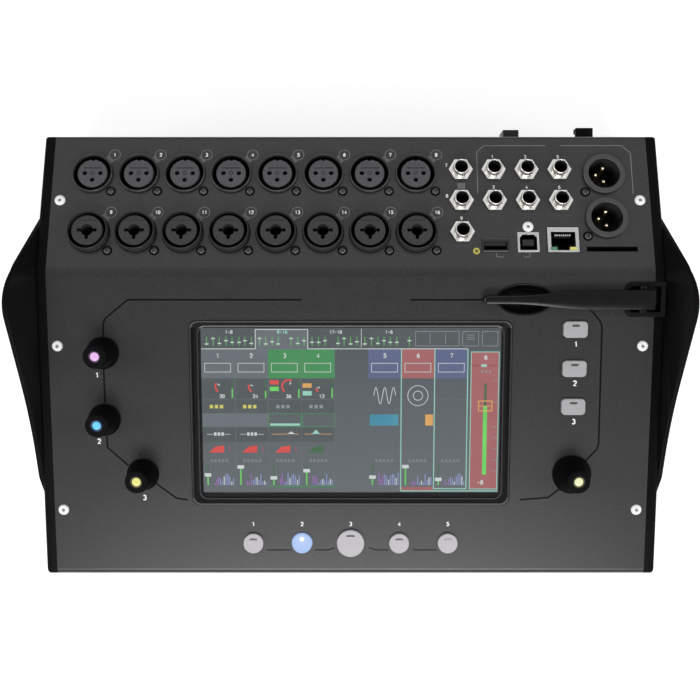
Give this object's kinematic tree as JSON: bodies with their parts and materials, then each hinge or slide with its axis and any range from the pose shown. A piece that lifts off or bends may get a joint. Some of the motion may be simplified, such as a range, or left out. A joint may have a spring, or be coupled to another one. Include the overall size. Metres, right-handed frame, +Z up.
{
  "type": "digital mixing desk",
  "caption": "Compact digital audio mixing desk with a touch screen, rotary encoders, keys, a flip-up antenna and a sloping panel of input and output sockets.",
  "frame": {"origin": "middle of the footprint, on the surface the feet stand on", "axes": "+Z up, +X to the right of the person at the desk, +Y to the rear, where the sockets are"},
  "size_m": [0.3412, 0.237, 0.093],
  "materials": {
    "dark_grey_powder_coat": "fine-textured powder coat",
    "black_powder_coat": "fine-textured powder coat",
    "black_moulding": "fine spark texture",
    "black_gloss_moulding": "smooth",
    "dark_frame_moulding": "satin",
    "grey_contact_moulding": "satin",
    "knob_rubber": "soft touch",
    "key_moulding": "satin",
    "foot_rubber": "matte",
    "white_screw": "satin paint",
    "black_screw": "black zinc",
    "nickel": "bright nickel plate",
    "steel": "plain",
    "gold": "gold plate",
    "screen_glass": "smooth cover glass",
    "light_pipe": "clear moulding",
    "circuit_board": "solder mask"
  },
  "bodies": {
    "desk": {"top_panel": "dark_grey_powder_coat", "base_tray": "black_powder_coat", "left_cheek": "black_moulding", "right_cheek": "black_moulding", "panel_screws": "white_screw", "cheek_screws": "black_screw", "base_screws": "black_screw", "socket_screws": "black_screw", "rubber_feet": "foot_rubber", "display_bezel": "dark_frame_moulding", "touch_glass": "screen_glass", "lcd_module": "steel", "control_board": "circuit_board", "encoder_bodies": "steel", "key_switches": "black_moulding", "antenna_bracket": "black_gloss_moulding", "antenna_pin": "steel", "finger_scoop": "black_gloss_moulding", "mic_sockets": "black_moulding", "mic_inserts": "grey_contact_moulding", "combo_sockets": "black_moulding", "combo_inserts": "grey_contact_moulding", "main_output_sockets": "black_moulding", "main_output_inserts": "black_moulding", "main_output_pins": "gold", "line_jacks": "nickel", "jack_nuts": "nickel", "usb_a_shell": "steel", "usb_b_shell": "steel", "usb_contact_blocks": "grey_contact_moulding", "network_socket": "steel", "card_reader": "black_moulding", "status_light": "light_pipe", "connector_board": "circuit_board", "board_post": "steel", "power_inlet": "black_gloss_moulding", "power_inlet_pin": "steel", "power_switch_body": "black_gloss_moulding", "cable_hook": "black_moulding", "main_board": "circuit_board", "board_standoffs": "steel", "board_screws": "steel"},
    "knob_1": {"knob_cap_1": "knob_rubber", "knob_shaft_1": "light_pipe"},
    "knob_2": {"knob_cap_2": "knob_rubber", "knob_shaft_2": "light_pipe"},
    "knob_3": {"knob_cap_3": "knob_rubber", "knob_shaft_3": "light_pipe"},
    "knob_4": {"knob_cap_4": "knob_rubber", "knob_shaft_4": "light_pipe"},
    "key_round_1": {"round_key_1": "key_moulding"},
    "key_round_2": {"round_key_2": "key_moulding"},
    "key_round_3": {"round_key_3": "key_moulding"},
    "key_round_4": {"round_key_4": "key_moulding"},
    "key_round_5": {"round_key_5": "key_moulding"},
    "key_soft_1": {"soft_key_1": "key_moulding"},
    "key_soft_2": {"soft_key_2": "key_moulding"},
    "key_soft_3": {"soft_key_3": "key_moulding"},
    "antenna": {"antenna_blade": "black_gloss_moulding"},
    "power_rocker": {"power_switch_rocker": "black_gloss_moulding"}
  },
  "joints": [
    {"name": "knob_1_turn", "type": "hinge", "parent": "desk", "child": "knob_1", "pos_m": [-0.126, -0.0025, 0.07483], "axis": [0, -0.1219, 0.9925], "continuous": true},
    {"name": "knob_2_turn", "type": "hinge", "parent": "desk", "child": "knob_2", "pos_m": [-0.1261, -0.03674, 0.07062], "axis": [0, -0.1219, 0.9925], "continuous": true},
    {"name": "knob_3_turn", "type": "hinge", "parent": "desk", "child": "knob_3", "pos_m": [-0.1072, -0.06522, 0.06713], "axis": [0, -0.1219, 0.9925], "continuous": true},
    {"name": "knob_4_turn", "type": "hinge", "parent": "desk", "child": "knob_4", "pos_m": [0.1142, -0.06522, 0.06713], "axis": [0, -0.1219, 0.9925], "continuous": true},
    {"name": "round_key_1_press", "type": "slide", "parent": "desk", "child": "key_round_1", "axis": [0, 0.1219, -0.9925], "range_m": [0, 0.0008], "stiffness_N_per_m": 800, "springref_m": -0.0004},
    {"name": "round_key_2_press", "type": "slide", "parent": "desk", "child": "key_round_2", "axis": [0, 0.1219, -0.9925], "range_m": [0, 0.0008], "stiffness_N_per_m": 800, "springref_m": -0.0004},
    {"name": "round_key_3_press", "type": "slide", "parent": "desk", "child": "key_round_3", "axis": [0, 0.1219, -0.9925], "range_m": [0, 0.0008], "stiffness_N_per_m": 800, "springref_m": -0.0004},
    {"name": "round_key_4_press", "type": "slide", "parent": "desk", "child": "key_round_4", "axis": [0, 0.1219, -0.9925], "range_m": [0, 0.0008], "stiffness_N_per_m": 800, "springref_m": -0.0004},
    {"name": "round_key_5_press", "type": "slide", "parent": "desk", "child": "key_round_5", "axis": [0, 0.1219, -0.9925], "range_m": [0, 0.0008], "stiffness_N_per_m": 800, "springref_m": -0.0004},
    {"name": "soft_key_1_press", "type": "slide", "parent": "desk", "child": "key_soft_1", "axis": [0, 0.1219, -0.9925], "range_m": [0, 0.0008], "stiffness_N_per_m": 800, "springref_m": -0.0004},
    {"name": "soft_key_2_press", "type": "slide", "parent": "desk", "child": "key_soft_2", "axis": [0, 0.1219, -0.9925], "range_m": [0, 0.0008], "stiffness_N_per_m": 800, "springref_m": -0.0004},
    {"name": "soft_key_3_press", "type": "slide", "parent": "desk", "child": "key_soft_3", "axis": [0, 0.1219, -0.9925], "range_m": [0, 0.0008], "stiffness_N_per_m": 800, "springref_m": -0.0004},
    {"name": "antenna_flip", "type": "hinge", "parent": "desk", "child": "antenna", "pos_m": [0.1474, 0.02448, 0.07915], "axis": [0, 0.9925, 0.1219], "range_deg": [0, 90]},
    {"name": "power_switch_rock", "type": "hinge", "parent": "desk", "child": "power_rocker", "pos_m": [0.1036, 0.111, 0.037], "axis": [1, 0, 0], "range_deg": [0, 16]}
  ]
}
